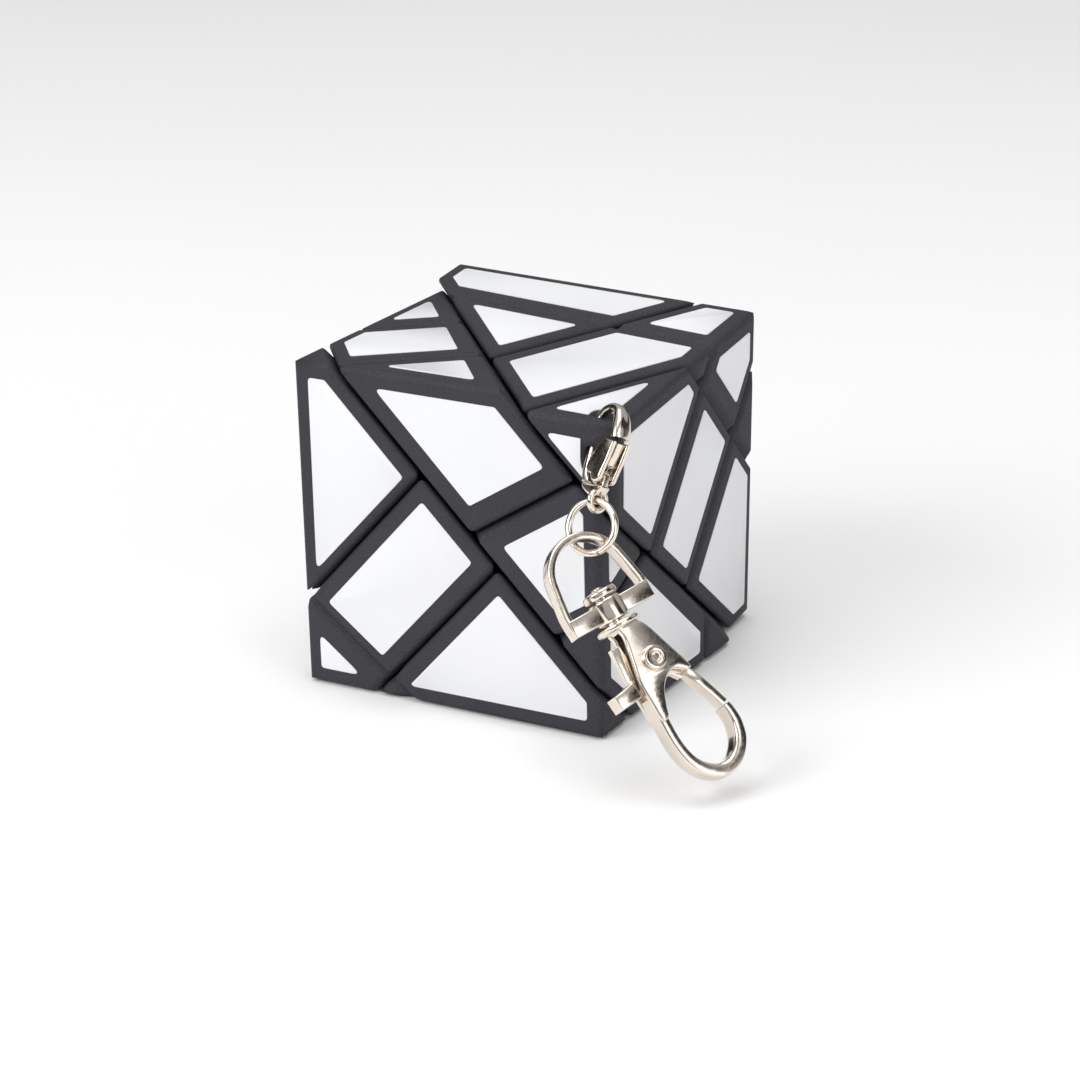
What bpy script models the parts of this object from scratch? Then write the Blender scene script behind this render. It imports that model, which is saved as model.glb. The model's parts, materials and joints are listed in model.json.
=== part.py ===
"""Twisty puzzle cube with skew cuts, and hardware on one corner: clasp, jump ring, D-ring and snap hook.

Sizes are in millimetres and the finished objects in metres, +Z is up, and the origin is the centre of the
cube's bottom face. Every cubie is the cube's own block cut by three families of planes, so its outside is a
flat cube and its inside a 3 x 3 x 3 mechanism: a core with six posts, a sprung screw in each, centres on the
posts, and edges and corners held by feet that reach under their neighbours inside a spherical shell.
"""

import itertools
import math

import bmesh
import bpy
import numpy as np
from mathutils import Matrix, Vector

METRES = 0.001  # everything is modelled in millimetres, and scaled to metres when it is finished

# Cube and mechanism
HALF = 20.0
CENTRE = Vector((0, 0, HALF))
AXIS = Vector((0.607, 0.513, 0.607)).normalized()
CUT = 6.86  # from the cube's centre to each cut plane
GAP = 0.3
EDGE_RADIUS = 1.15
EDGE_SETBACK = 1.3  # a sharper edge is rounded less, so that it loses no more of either face
EDGE_PLANES = 2
LAYER_TWIST = {"upper": math.radians(122.5), "middle": math.radians(-92.5), "lower": math.radians(-121.1)}
LAYER_TURN = {"upper": math.radians(5.9), "middle": 0.0, "lower": 0.0}
LAYER_SIDE = {"upper": 1, "middle": 0, "lower": -1}
FOOT_REACH = 2.0
SHELL_INNER = 10.0
SHELL_OUTER = 14.0
SHELL_GAP = 0.4
FOOT_EDGE = CUT - FOOT_REACH  # where a foot ends under its neighbour
FREE_EDGE = FOOT_EDGE - SHELL_GAP  # where the neighbour's own foot starts
BALL_SEGMENTS = 24
BALL_RINGS = 12
WELD = 0.002  # points nearer than this are one

# Core, screws and springs
CORE_RADIUS = 6.2
POST_RADIUS = 3.6
POST_TOP = 9.0
STEM_RADIUS = 4.1
STEM_BOTTOM = 9.3
STEM_TOP = 18.0
POCKET_RADIUS = 2.5
POCKET_FLOOR = 11.2
POCKET_TOP = 17.2
BORE_RADIUS = 1.2
SCREW_RADIUS = 0.85
SCREW_TIP = 4.0
SCREW_PLAY = 0.2
SCREW_HEAD_RADIUS = 2.1
SCREW_HEAD_FROM = 15.6
SCREW_HEAD_TO = 16.8
SCREW_SLOT_HALF = 0.3
SCREW_SLOT_DEPTH = 0.5
SPRING_RADIUS = 1.6
SPRING_WIRE = 0.27
SPRING_TURNS = 3.5

# Hanging hole in the cube's front right top corner, before the upper layer's turn
HOLE_CENTRE = Vector((16.9, -18.65, 17.9))
HOLE_WIDE = Vector((1, 0, 0))
HOLE_LONG = Vector((0, 2.7, 4.2)).normalized()
HOLE_RADIUS = 0.85
HOLE_LENGTH = 9.0

# Lobster clasp, in its own plane: x across, y along, from the hanging hole's centre
CLASP_TURN = math.radians(28)  # of that plane, round the hole
CLASP_WIRE = 0.5
CLAW_HALF = 1.1
FOOT_HALF = 1.0
TONGUE_HALF = 0.4
CLASP_EDGE = 0.3  # width of the chamfers
LEVER_HALF = 1.35
LEVER_SLOT_HALF = 0.7
LEVER_END = 0.85
CLASP_PIVOT = Vector((3.0, -4.35, 0))
EYE_CENTRE = Vector((2.9, -7.1, 0))
EYE_RADIUS = 1.05
EYE_WIRE = 0.38

# Jump ring: from the clasp's eye down to the D-ring
JUMP_RADIUS = 2.9
JUMP_WIRE = 0.4
JUMP_DOWN = Vector((-0.04, -0.41, -0.91)).normalized()
JUMP_FACE = Vector((-0.06, -0.95, 0.31))

# D-ring and snap hook, in the hook's plane: x across, y from the cross bar towards the hook's loop
HOOK_ORIGIN = Vector((25.25, -27.67, 19.53))
HOOK_ALONG = Vector((0.617, -0.081, -0.78)).normalized()
HOOK_FACE = Vector((0.84, -0.455, 0.29))
D_HALF_WIDTH = 5.0
D_ARCH_RADIUS = 4.4
D_ARCH_CENTRE = 4.3
D_STRAP = 0.45
D_DEPTH = 0.75
BAR_HALF = 1.0
BAR_DEPTH = 1.0
BARREL_RADIUS = 1.9
BARREL_HALF = 1.3
PIN_RADIUS = 0.8
PIN_PLAY = 0.3
COLLAR_RADIUS = 2.6
HEAD_RADIUS = 1.95
DISC = 0.7  # thickness of the collar and of the pin's head
HOOK_HALF = 1.7
HOOK_EDGE = 0.35  # width of the chamfers
CHANNEL_HALF = 0.85
LOOP_HALF = 1.3
TRIGGER_HALF = 0.5
TRIGGER_PIVOT = Vector((-0.85, 6.9, 0))
RIVET_RADIUS = 0.85
RIVET_HEAD = 1.4
RIVET_RIM = 0.6
RIVET_BORE = 0.5
RIVET_PLAY = 0.15


# --- mesh helpers -------------------------------------------------------------------------------------------


def clear_scene():
    for obj in list(bpy.data.objects):
        bpy.data.objects.remove(obj)


def material(name, colour, roughness, metallic=0.0):
    """A Principled BSDF with one colour."""
    made = bpy.data.materials.new(name)
    made.use_nodes = True
    shader = made.node_tree.nodes["Principled BSDF"]
    shader.inputs["Base Color"].default_value = (*colour, 1.0)
    shader.inputs["Roughness"].default_value = roughness
    shader.inputs["Metallic"].default_value = metallic
    return made


def frame_of(along, side=None):
    """Rotation whose Z is along, and whose X is as near side as it can be."""
    z = Vector(along).normalized()
    x = Vector(side) if side is not None else z.orthogonal()
    x = (x - x.dot(z) * z).normalized()
    return Matrix((x, z.cross(x), z)).transposed().to_4x4()


def object_of(bm, name):
    """Makes bm a mesh object at the origin, with its faces pointing out."""
    bmesh.ops.recalc_face_normals(bm, faces=bm.faces)
    mesh = bpy.data.meshes.new(name)
    bm.to_mesh(mesh)
    bm.free()
    obj = bpy.data.objects.new(name, mesh)
    bpy.context.scene.collection.objects.link(obj)
    return obj


def tidy(obj):
    """Merges points that a Boolean left side by side, and splits its faces into flat triangles."""
    bm = bmesh.new()
    bm.from_mesh(obj.data)
    bmesh.ops.remove_doubles(bm, verts=bm.verts, dist=WELD)
    bmesh.ops.dissolve_degenerate(bm, edges=bm.edges, dist=WELD)
    bmesh.ops.triangulate(bm, faces=bm.faces)
    bm.to_mesh(obj.data)
    bm.free()


def combine(target, tool, operation):
    """Applies a Boolean of tool to target, and removes tool."""
    tidy(tool)
    tidy(target)
    step = target.modifiers.new(operation, "BOOLEAN")
    step.operation = operation
    step.solver = "EXACT"
    step.object = tool
    graph = bpy.context.evaluated_depsgraph_get()
    mesh = bpy.data.meshes.new_from_object(target.evaluated_get(graph))
    target.modifiers.remove(step)
    target.data = mesh
    tidy(target)
    bpy.data.objects.remove(tool)
    return target


def keep_beyond(bm, normal, distance):
    """Keeps the convex solid's part where point . normal > distance, and closes it with a flat face."""
    every = bm.verts[:] + bm.edges[:] + bm.faces[:]
    bmesh.ops.bisect_plane(bm, geom=every, plane_co=normal * distance, plane_no=normal, clear_inner=True)
    rim = [edge for edge in bm.edges if edge.is_boundary]
    if rim:
        bmesh.ops.holes_fill(bm, edges=rim)


def solid_inside(planes):
    """The convex solid on the inner side of every (outward normal, distance) plane."""
    normals = np.array([normal for normal, _ in planes])
    distances = np.array([distance for _, distance in planes])
    triples = np.array(list(itertools.combinations(range(len(planes)), 3)))
    triples = triples[np.abs(np.linalg.det(normals[triples])) > 1e-4]
    points = np.linalg.solve(normals[triples], distances[triples][..., None])[..., 0]
    points = points[(points @ normals.T < distances + WELD / 2).all(axis=1)]
    bm = bmesh.new()
    for point in points:
        bm.verts.new(point)
    bmesh.ops.remove_doubles(bm, verts=bm.verts, dist=10 * WELD)
    bmesh.ops.convex_hull(bm, input=bm.verts)
    bmesh.ops.delete(bm, geom=[v for v in bm.verts if not v.link_faces], context="VERTS")
    bmesh.ops.dissolve_limit(bm, angle_limit=math.radians(1), verts=bm.verts, edges=bm.edges)
    bmesh.ops.recalc_face_normals(bm, faces=bm.faces)
    return bm


def ball(radius):
    """A sphere round the cube's centre, its poles on the layers' axis."""
    bm = bmesh.new()
    bmesh.ops.create_uvsphere(bm, u_segments=BALL_SEGMENTS, v_segments=BALL_RINGS, radius=radius)
    bm.transform(frame_of(AXIS))
    return bm


def rod(start, end, radius, sides=16):
    """A cylinder from start to end."""
    start = Vector(start)
    end = Vector(end)
    bm = bmesh.new()
    length = (end - start).length
    bmesh.ops.create_cone(bm, cap_ends=True, segments=sides, radius1=radius, radius2=radius, depth=length)
    bm.transform(Matrix.Translation((start + end) / 2) @ frame_of(end - start))
    return bm


def block(low, high):
    """A box from its low corner to its high one."""
    low = Vector(low)
    high = Vector(high)
    bm = bmesh.new()
    bmesh.ops.create_cube(bm, size=1.0)
    size = Matrix.Diagonal((*(high - low), 1.0))
    bm.transform(Matrix.Translation((low + high) / 2) @ size)
    return bm


def slab(outline, low, high):
    """An outline in X and Y, extruded from low to high along Z."""
    bm = bmesh.new()
    bottom = bm.faces.new([bm.verts.new((x, y, low)) for x, y in outline])
    grown = bmesh.ops.extrude_face_region(bm, geom=[bottom])
    top = [v for v in grown["geom"] if isinstance(v, bmesh.types.BMVert)]
    bmesh.ops.translate(bm, verts=top, vec=(0, 0, high - low))
    return bm


def tube(path, radius, sides=8, closed=False, flat=None):
    """Sweeps a circle, or a flat=(half width, half depth) strap, along path. A strap's depth stays along Z."""
    bm = bmesh.new()
    count = len(path)
    rings = []
    side = None
    for index, point in enumerate(path):
        before = path[index - 1] if closed or index else point
        after = path[(index + 1) % count] if closed or index < count - 1 else point
        along = (Vector(after) - Vector(before)).normalized()
        if flat:
            side = along.cross(Vector((0, 0, 1)))
        turn = frame_of(along, side if side is not None else None)
        side = turn.col[0].to_3d()
        if flat:
            shape = [(flat[0], flat[1]), (-flat[0], flat[1]), (-flat[0], -flat[1]), (flat[0], -flat[1])]
        else:
            steps = [2 * math.pi * k / sides for k in range(sides)]
            shape = [(radius * math.cos(a), radius * math.sin(a)) for a in steps]
        rings.append([bm.verts.new(Vector(point) + turn.to_3x3() @ Vector((x, y, 0))) for x, y in shape])
    pairs = list(zip(rings, rings[1:]))
    if closed:
        pairs.append((rings[-1], rings[0]))
    else:
        bm.faces.new(rings[0])
        bm.faces.new(rings[-1])
    for low, high in pairs:
        for k in range(len(low)):
            after = (k + 1) % len(low)
            bm.faces.new((low[k], low[after], high[after], high[k]))
    return bm


def arc(centre, radius, start, end, steps):
    """Points on a circle in the XY plane, from start to end degrees."""
    angles = [math.radians(start + (end - start) * k / steps) for k in range(steps + 1)]
    return [(centre[0] + radius * math.cos(a), centre[1] + radius * math.sin(a)) for a in angles]


def ring(radius, wire, steps=24, sides=8):
    """A wire ring in the XY plane."""
    return tube([(x, y, 0) for x, y in arc((0, 0), radius, 0, 360, steps)][:-1], wire, sides, closed=True)


def finish(obj, name, paint, parent):
    """Names obj, scales it to metres, gives it its material and parent, and shades its round faces smooth."""
    obj.data.transform(Matrix.Scale(METRES, 4))
    obj.name = name
    obj.data.name = name
    obj.data.materials.clear()
    obj.data.materials.append(paint)
    obj.parent = parent
    obj.data.shade_smooth()
    obj.data.set_sharp_from_angle(angle=math.radians(30))
    return obj


def pivot(name, place, parent=None):
    """An empty on a joint's axis, which its moving pieces hang from. place is in the parent's millimetres."""
    empty = bpy.data.objects.new(name, None)
    bpy.context.scene.collection.objects.link(empty)
    empty.parent = parent
    at = place.copy()
    at.translation *= METRES
    empty.matrix_basis = at
    return empty


# --- the cubies ---------------------------------------------------------------------------------------------


def layer_axes(layer):
    """The layer's two grid directions, square to its axis."""
    first = AXIS.cross(Vector((0, 0, 1))).normalized()
    second = AXIS.cross(first)
    twist = LAYER_TWIST[layer]
    across = first * math.cos(twist) + second * math.sin(twist)
    return across, AXIS.cross(across)


def cell_planes(axes, sides):
    """(normal, distance) pairs of a grid cell, half the gap inside it. A side is -1, 0 or 1 along its axis."""
    planes = []
    for axis, side in zip(axes, sides):
        if side:
            planes.append((axis * side, CUT + GAP / 2))
        else:
            planes += [(axis, GAP / 2 - CUT), (-axis, GAP / 2 - CUT)]
    return planes


def rounding_planes(bm):
    """Planes that cut a convex solid's edges off, each touching a fillet's cylinder."""
    planes = []
    for edge in bm.edges:
        one, other = (face.normal for face in edge.link_faces)
        half_corner = (math.pi - one.angle(other)) / 2
        radius = min(EDGE_RADIUS, EDGE_SETBACK * math.tan(half_corner))
        middle = edge.verts[0].co - (one + other) * radius / (1 + one.dot(other))
        for step in range(1, EDGE_PLANES + 1):
            out = one.slerp(other, step / (EDGE_PLANES + 1))
            planes.append((out, out.dot(middle) + radius))
    return planes


def cell_block(axes, sides):
    """The part of the cube inside a grid cell, with its edges rounded."""
    ways = [Vector(way) for way in ((1, 0, 0), (0, 1, 0), (0, 0, 1))]
    faces = [(way * side, HALF) for way in ways for side in (1, -1)]
    cuts = [(-normal, -distance) for normal, distance in cell_planes(axes, sides)]
    sharp = solid_inside(faces + cuts)
    block = solid_inside(faces + cuts + rounding_planes(sharp))
    sharp.free()
    return object_of(block, "cell")


def shell_part(radius, planes):
    """The part of a ball beyond every plane."""
    bm = ball(radius)
    for normal, distance in planes:
        keep_beyond(bm, normal, distance)
    return object_of(bm, "shell_part")


def foot_planes(axes, sides):
    """A foot reaches past its own cell under its neighbours, and leaves room for theirs."""
    planes = []
    for axis, side in zip(axes, sides):
        if side:
            planes.append((axis * side, FOOT_EDGE))
        else:
            planes += [(axis, -FREE_EDGE), (-axis, -FREE_EDGE)]
    return planes


def corner_cubie(axes, sides):
    body = cell_block(axes, sides)
    combine(body, shell_part(SHELL_OUTER, foot_planes(axes, sides)), "UNION")
    return combine(body, object_of(ball(SHELL_INNER), "inner"), "DIFFERENCE")


def edge_cubie(axes, sides):
    body = cell_block(axes, sides)
    free = axes[list(sides).index(0)]
    for way in (free, -free):
        combine(body, shell_part(SHELL_OUTER + SHELL_GAP, [(way, FREE_EDGE)]), "DIFFERENCE")
    combine(body, shell_part(SHELL_OUTER, foot_planes(axes, sides)), "UNION")
    return combine(body, object_of(ball(SHELL_INNER), "inner"), "DIFFERENCE")


def centre_cubie(axes, sides):
    body = cell_block(axes, sides)
    out = sum((axis * side for axis, side in zip(axes, sides)), Vector())
    combine(body, object_of(ball(SHELL_OUTER + SHELL_GAP), "inner"), "DIFFERENCE")
    combine(body, object_of(rod(out * STEM_BOTTOM, out * STEM_TOP, STEM_RADIUS), "stem"), "UNION")
    pocket = object_of(rod(out * POCKET_FLOOR, out * POCKET_TOP, POCKET_RADIUS, 12), "pocket")
    bore = rod(out * (STEM_BOTTOM - 1.0), out * (POCKET_FLOOR + 1.0), BORE_RADIUS, 12)
    combine(pocket, object_of(bore, "bore"), "UNION")
    return combine(body, pocket, "DIFFERENCE")


def cubie_name(layer, sides, counts):
    """A name such as upper_corner_2. The corner that carries the clasp has its own."""
    kind = {1: "centre", 2: "edge", 3: "corner"}[sum(map(abs, sides))]
    if layer == "upper" and sides[1:] == (-1, -1):
        return "upper_corner_hanging"
    counts[layer, kind] = counts.get((layer, kind), 0) + 1
    if (layer, kind) in (("upper", "centre"), ("lower", "centre")):
        return f"{layer}_{kind}"
    return f"{layer}_{kind}_{counts[layer, kind]}"


def make_layer(layer, parent, paint):
    axes = (AXIS, *layer_axes(layer))
    makers = {1: centre_cubie, 2: edge_cubie, 3: corner_cubie}
    counts = {}
    for i in (-1, 0, 1):
        for j in (-1, 0, 1):
            sides = (LAYER_SIDE[layer], i, j)
            if sides == (0, 0, 0):
                continue
            body = makers[sum(map(abs, sides))](axes, sides)
            name = cubie_name(layer, sides, counts)
            if name == "upper_corner_hanging":
                reach = HOLE_LONG * HOLE_LENGTH / 2
                drill = rod(HOLE_CENTRE - reach, HOLE_CENTRE + reach, HOLE_RADIUS, 12)
                combine(body, object_of(drill, "drill"), "DIFFERENCE")
            finish(body, name, paint, parent)


# --- core, screws and springs -------------------------------------------------------------------------------


def post_directions():
    across, up = layer_axes("middle")
    return [AXIS, -AXIS, across, -across, up, -up]


def make_core(parent, paint):
    """A ball with six posts, drilled through along each axis for the screws."""
    core = object_of(ball(CORE_RADIUS), "core")
    for out in post_directions():
        combine(core, object_of(rod(out, out * POST_TOP, POST_RADIUS), "post"), "UNION")
    for out in post_directions()[::2]:
        hole = rod(-out * (POST_TOP + 1.0), out * (POST_TOP + 1.0), SCREW_RADIUS + SCREW_PLAY, 10)
        combine(core, object_of(hole, "thread"), "DIFFERENCE")
    finish(core, "core", paint, parent)


def make_screw(name, out, parent, paint):
    screw = object_of(rod(out * SCREW_TIP, out * (SCREW_HEAD_FROM + 0.2), SCREW_RADIUS, 10), "screw")
    head = object_of(rod(out * SCREW_HEAD_FROM, out * SCREW_HEAD_TO, SCREW_HEAD_RADIUS, 14), "head")
    combine(screw, head, "UNION")
    reach = SCREW_HEAD_RADIUS + 1.0
    low = (-SCREW_SLOT_HALF, -reach, SCREW_HEAD_TO - SCREW_SLOT_DEPTH)
    slot = block(low, (SCREW_SLOT_HALF, reach, SCREW_HEAD_TO + 1.0))
    slot.transform(frame_of(out))
    combine(screw, object_of(slot, "slot"), "DIFFERENCE")
    finish(screw, name, paint, parent)


def make_spring(name, out, parent, paint):
    low = POCKET_FLOOR + SPRING_WIRE + 0.1
    high = SCREW_HEAD_FROM - SPRING_WIRE - 0.1
    steps = int(SPRING_TURNS * 10)
    path = []
    for k in range(steps + 1):
        angle = 2 * math.pi * SPRING_TURNS * k / steps
        height = low + (high - low) * k / steps
        path.append((SPRING_RADIUS * math.cos(angle), SPRING_RADIUS * math.sin(angle), height))
    coil = tube(path, SPRING_WIRE, 4)
    coil.transform(frame_of(out))
    finish(object_of(coil, name), name, paint, parent)


def make_mechanism(parent, plastic, steel):
    """The screws stay in the core, and the upper and lower centres turn round theirs."""
    make_core(parent, plastic)
    for number, out in enumerate(post_directions(), start=1):
        make_screw(f"screw_{number}", out, parent, steel)
        make_spring(f"spring_{number}", out, parent, steel)


# --- hanging hardware ---------------------------------------------------------------------------------------


def plate(outline, half, chamfer=0.0):
    """A plate of an outline in millimetres, half its thickness each way."""
    bm = slab(outline, -half, half)
    if chamfer:
        flat = [edge for edge in bm.edges if abs(edge.verts[0].co.z - edge.verts[1].co.z) < half]
        bmesh.ops.bevel(bm, geom=flat, offset=chamfer, segments=1, affect="EDGES", clamp_overlap=True)
    return object_of(bm, "plate")


def clasp_frame():
    """Plane of the lobster clasp before the upper layer's turn: X across, Y along the hole, Z to the front."""
    out = HOLE_WIDE.cross(HOLE_LONG)
    turn = Matrix((HOLE_WIDE, HOLE_LONG, out)).transposed().to_4x4()
    return Matrix.Translation(HOLE_CENTRE) @ turn @ Matrix.Rotation(-CLASP_TURN, 4, "Y")


def make_clasp(parent, metal):
    """A wire through the hanging hole, a claw over the lever, and a foot with a tongue and the eye."""
    wire = [(1.4, -5.6), (0.4, -5.0), (0, -3.9), (0, 1.8), (0.1, 2.2), (0.4, 2.7), (0.9, 3.1), (1.7, 3.4)]
    wire += [(2.6, 3.45), (3.3, 3.0), (3.8, 2.0)]
    body = object_of(tube([(x, y, 0) for x, y in wire], CLASP_WIRE), "wire")
    claw = [(2.6, 3.8), (3.4, 3.7), (4.2, 2.8), (4.75, 1.4), (4.9, -0.2), (3.4, 0.1), (3.25, 1.5), (2.8, 2.6)]
    combine(body, plate(claw, CLAW_HALF, CLASP_EDGE), "UNION")
    foot = [(0.3, -5.1), (1.5, -5.4), (4.0, -5.5), (3.7, -6.2), (2.9, -6.6), (1.5, -6.4), (0.5, -5.9)]
    combine(body, plate(foot, FOOT_HALF, CLASP_EDGE), "UNION")
    x, y, _ = CLASP_PIVOT
    tongue = block((x - 0.6, y - 1.4, -TONGUE_HALF), (x + 0.6, y + 0.45, TONGUE_HALF))
    combine(body, object_of(tongue, "tongue"), "UNION")
    eye = ring(EYE_RADIUS, EYE_WIRE, 16, 8)
    eye.transform(Matrix.Translation(EYE_CENTRE) @ Matrix.Rotation(math.pi / 2, 4, "Y"))
    combine(body, object_of(eye, "eye"), "UNION")
    finish(body, "clasp_body", metal, parent)


def make_clasp_lever(parent, metal):
    """The clasp's lever: its upper end meets the claw, and its lower end is a fork on the foot's tongue."""
    outline = [*arc(CLASP_PIVOT, LEVER_END, 180, 360, 8), (4.1, -3.5), (4.55, -2.0)]
    outline += [(4.85, -0.55), (3.55, -0.25), (2.6, -2.2), (2.1, -3.5)]
    lever = plate(outline, LEVER_HALF, CLASP_EDGE)
    x, y, _ = CLASP_PIVOT
    slot = block((x - 2, y - 2, -LEVER_SLOT_HALF), (x + 2, y + 1.15, LEVER_SLOT_HALF))
    combine(lever, object_of(slot, "slot"), "DIFFERENCE")
    lever.data.transform(Matrix.Translation(-CLASP_PIVOT))
    finish(lever, "clasp_lever", metal, parent)


def jump_ring_frame(eye):
    """The ring hangs from the eye: Y points up from its centre to the eye, and Z out of the cube."""
    up = -JUMP_DOWN
    out = (JUMP_FACE - JUMP_FACE.dot(up) * up).normalized()
    turn = Matrix((up.cross(out), up, out)).transposed().to_4x4()
    return Matrix.Translation(eye) @ turn


def make_jump_ring(parent, metal):
    """A ring below the point that it hangs from."""
    jump = ring(JUMP_RADIUS, JUMP_WIRE, 24, 8)
    jump.transform(Matrix.Translation((0, -JUMP_RADIUS, 0)))
    finish(object_of(jump, "ring"), "jump_ring", metal, parent)


def hook_frame():
    """The snap hook's place: Y along it towards the loop, Z out of the cube, from the cross bar's middle."""
    out = (HOOK_FACE - HOOK_FACE.dot(HOOK_ALONG) * HOOK_ALONG).normalized()
    turn = Matrix((HOOK_ALONG.cross(out), HOOK_ALONG, out)).transposed().to_4x4()
    return Matrix.Translation(HOOK_ORIGIN) @ turn


def make_d_ring(hang, parent, metal):
    """A strap arch on a flat cross bar, with a barrel for the hook's pin. It hangs by a point of its plane."""
    top = arc((0, -D_ARCH_CENTRE), D_ARCH_RADIUS, 180, 360, 14)
    path = [(-D_HALF_WIDTH, 0), *top, (D_HALF_WIDTH, 0)]
    strap = tube([(x, y, 0) for x, y in path], 0, flat=(D_STRAP, D_DEPTH))
    body = object_of(strap, "strap")
    wide = D_HALF_WIDTH + D_STRAP
    bar = block((-wide, -BAR_HALF, -BAR_DEPTH), (wide, BAR_HALF, BAR_DEPTH))
    combine(body, object_of(bar, "bar"), "UNION")
    barrel = rod((0, -BARREL_HALF, 0), (0, BARREL_HALF, 0), BARREL_RADIUS)
    combine(body, object_of(barrel, "barrel"), "UNION")
    bore = rod((0, -2 * BARREL_HALF, 0), (0, 2 * BARREL_HALF, 0), PIN_RADIUS + PIN_PLAY)
    combine(body, object_of(bore, "bore"), "DIFFERENCE")
    body.data.transform(Matrix.Translation(-hang))
    finish(body, "d_ring", metal, parent)


def make_hook(parent, metal):
    """Swivel pin and head, a hollow body for the trigger, and the loop, open on its gate side."""
    head_from = -BARREL_HALF - PIN_PLAY
    collar_from = BARREL_HALF + PIN_PLAY
    body = object_of(rod((0, head_from - DISC / 2, 0), (0, collar_from + DISC / 2, 0), PIN_RADIUS), "pin")
    head = rod((0, head_from - DISC, 0), (0, head_from, 0), HEAD_RADIUS)
    combine(body, object_of(head, "head"), "UNION")
    collar = rod((0, collar_from, 0), (0, collar_from + DISC, 0), COLLAR_RADIUS)
    combine(body, object_of(collar, "collar"), "UNION")
    casing = [
        (0.9, 2.1), (-1.2, 2.1), (-2.3, 3.2), (-3.4, 6.4), (-4.45, 9.5), (-3.9, 9.8), (-2.6, 9.0), (-1.2, 9.4),
        (-0.1, 10.4), (0.5, 11.6), (1.9, 11.8), (2.15, 9.6), (2.05, 8.1), (1.25, 5.2), (0.85, 3.2),
    ]
    combine(body, plate(casing, HOOK_HALF, HOOK_EDGE), "UNION")
    outer = [(2.0, 10.0), (2.35, 13.6), (2.3, 16.8), (1.4, 19.4), (-0.2, 21.1), (-2.05, 21.7), (-4.0, 21.25)]
    outer += [(-5.6, 19.8), (-6.4, 17.7), (-6.45, 16.0), (-6.33, 14.75)]
    inner = [(-5.28, 15.5), (-5.3, 16.8), (-4.8, 18.5), (-3.5, 19.95), (-1.9, 20.5), (-0.5, 20.0)]
    inner += [(0.75, 18.5), (1.2, 16.3), (1.05, 13.0), (0.5, 10.6)]
    combine(body, plate(outer + inner, LOOP_HALF, 0.3), "UNION")
    channel = block((-6, 2.9, -CHANNEL_HALF), (3, 10.6, CHANNEL_HALF))
    combine(body, object_of(channel, "channel"), "DIFFERENCE")
    x, y, _ = TRIGGER_PIVOT
    reach = HOOK_HALF + 1.0
    hole = rod((x, y, -reach), (x, y, reach), RIVET_RADIUS + RIVET_PLAY)
    combine(body, object_of(hole, "hole"), "DIFFERENCE")
    finish(body, "hook_body", metal, parent)


def make_trigger(parent, metal):
    """Thumb tab, a bar along the body's side, the pivot's plate, and the gate that closes the loop."""
    outline = [
        (1.3, 3.8), (2.55, 3.8), (2.9, 7.9), (5.5, 8.4), (5.4, 10.2), (2.3, 10.0), (1.4, 8.8),
        (-0.6, 8.9), (-2.3, 9.3), (-3.6, 10.9), (-5.3, 15.1), (-6.5, 14.3), (-4.9, 10.2), (-3.0, 7.2),
        (-1.9, 5.8), (0.2, 5.4),
    ]
    body = plate(outline, TRIGGER_HALF, 0.15)
    x, y, _ = TRIGGER_PIVOT
    hole = rod((x, y, -HOOK_HALF), (x, y, HOOK_HALF), RIVET_RADIUS + RIVET_PLAY)
    combine(body, object_of(hole, "hole"), "DIFFERENCE")
    body.data.transform(Matrix.Translation(-TRIGGER_PIVOT))
    finish(body, "hook_trigger", metal, parent)


def make_rivet(parent, metal):
    """The hollow rivet that the trigger turns on, with a head on each side of the body."""
    x, y, _ = TRIGGER_PIVOT
    inside = HOOK_HALF + 0.1
    outside = HOOK_HALF + RIVET_RIM
    body = object_of(rod((x, y, -outside), (x, y, outside), RIVET_RADIUS), "rivet")
    for side in (-1, 1):
        head = rod((x, y, side * inside), (x, y, side * outside), RIVET_HEAD)
        combine(body, object_of(head, "head"), "UNION")
    bore = rod((x, y, -2 * outside), (x, y, 2 * outside), RIVET_BORE, 12)
    combine(body, object_of(bore, "bore"), "DIFFERENCE")
    finish(body, "hook_rivet", metal, parent)


def main():
    clear_scene()
    plastic = material("black_plastic", (0.045, 0.043, 0.055), 0.75)
    steel = material("screw_steel", (0.6, 0.6, 0.62), 0.35, 1.0)
    metal = material("bright_nickel", (0.86, 0.82, 0.77), 0.15, 1.0)
    layers = {}
    for layer, turn in LAYER_TURN.items():
        at = Matrix.Translation(CENTRE) @ Matrix.Rotation(turn, 4, AXIS)
        layers[layer] = pivot(f"{layer}_turn", at)
        make_layer(layer, layers[layer], plastic)
    make_mechanism(layers["middle"], plastic, steel)

    clasp = pivot("clasp_swing", clasp_frame(), layers["upper"])
    make_clasp(clasp, metal)
    make_clasp_lever(pivot("clasp_lever_press", Matrix.Translation(CLASP_PIVOT), clasp), metal)

    upper_turn = Matrix.Rotation(LAYER_TURN["upper"], 4, AXIS)
    eye = CENTRE + upper_turn @ clasp_frame() @ EYE_CENTRE
    jump_at = jump_ring_frame(eye)
    make_jump_ring(pivot("jump_ring_swing", jump_at), metal)

    hook_at = hook_frame()
    hang = hook_at.inverted() @ jump_at @ Vector((0, -2 * JUMP_RADIUS, 0))
    make_d_ring(hang, pivot("d_ring_swing", hook_at @ Matrix.Translation(hang)), metal)
    hook = pivot("hook_swivel", hook_at)
    make_hook(hook, metal)
    make_rivet(hook, metal)
    make_trigger(pivot("trigger_press", Matrix.Translation(TRIGGER_PIVOT), hook), metal)


main()
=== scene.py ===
"""Looks of the twisty puzzle cube: grainy black cubies, white stickers, bright hardware, and the studio.

Sizes are in millimetres, and each piece is scaled to metres as it is placed. Places come from the frame's
joints. A name that ends in HALF is half of a width, depth or length.
"""

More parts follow.
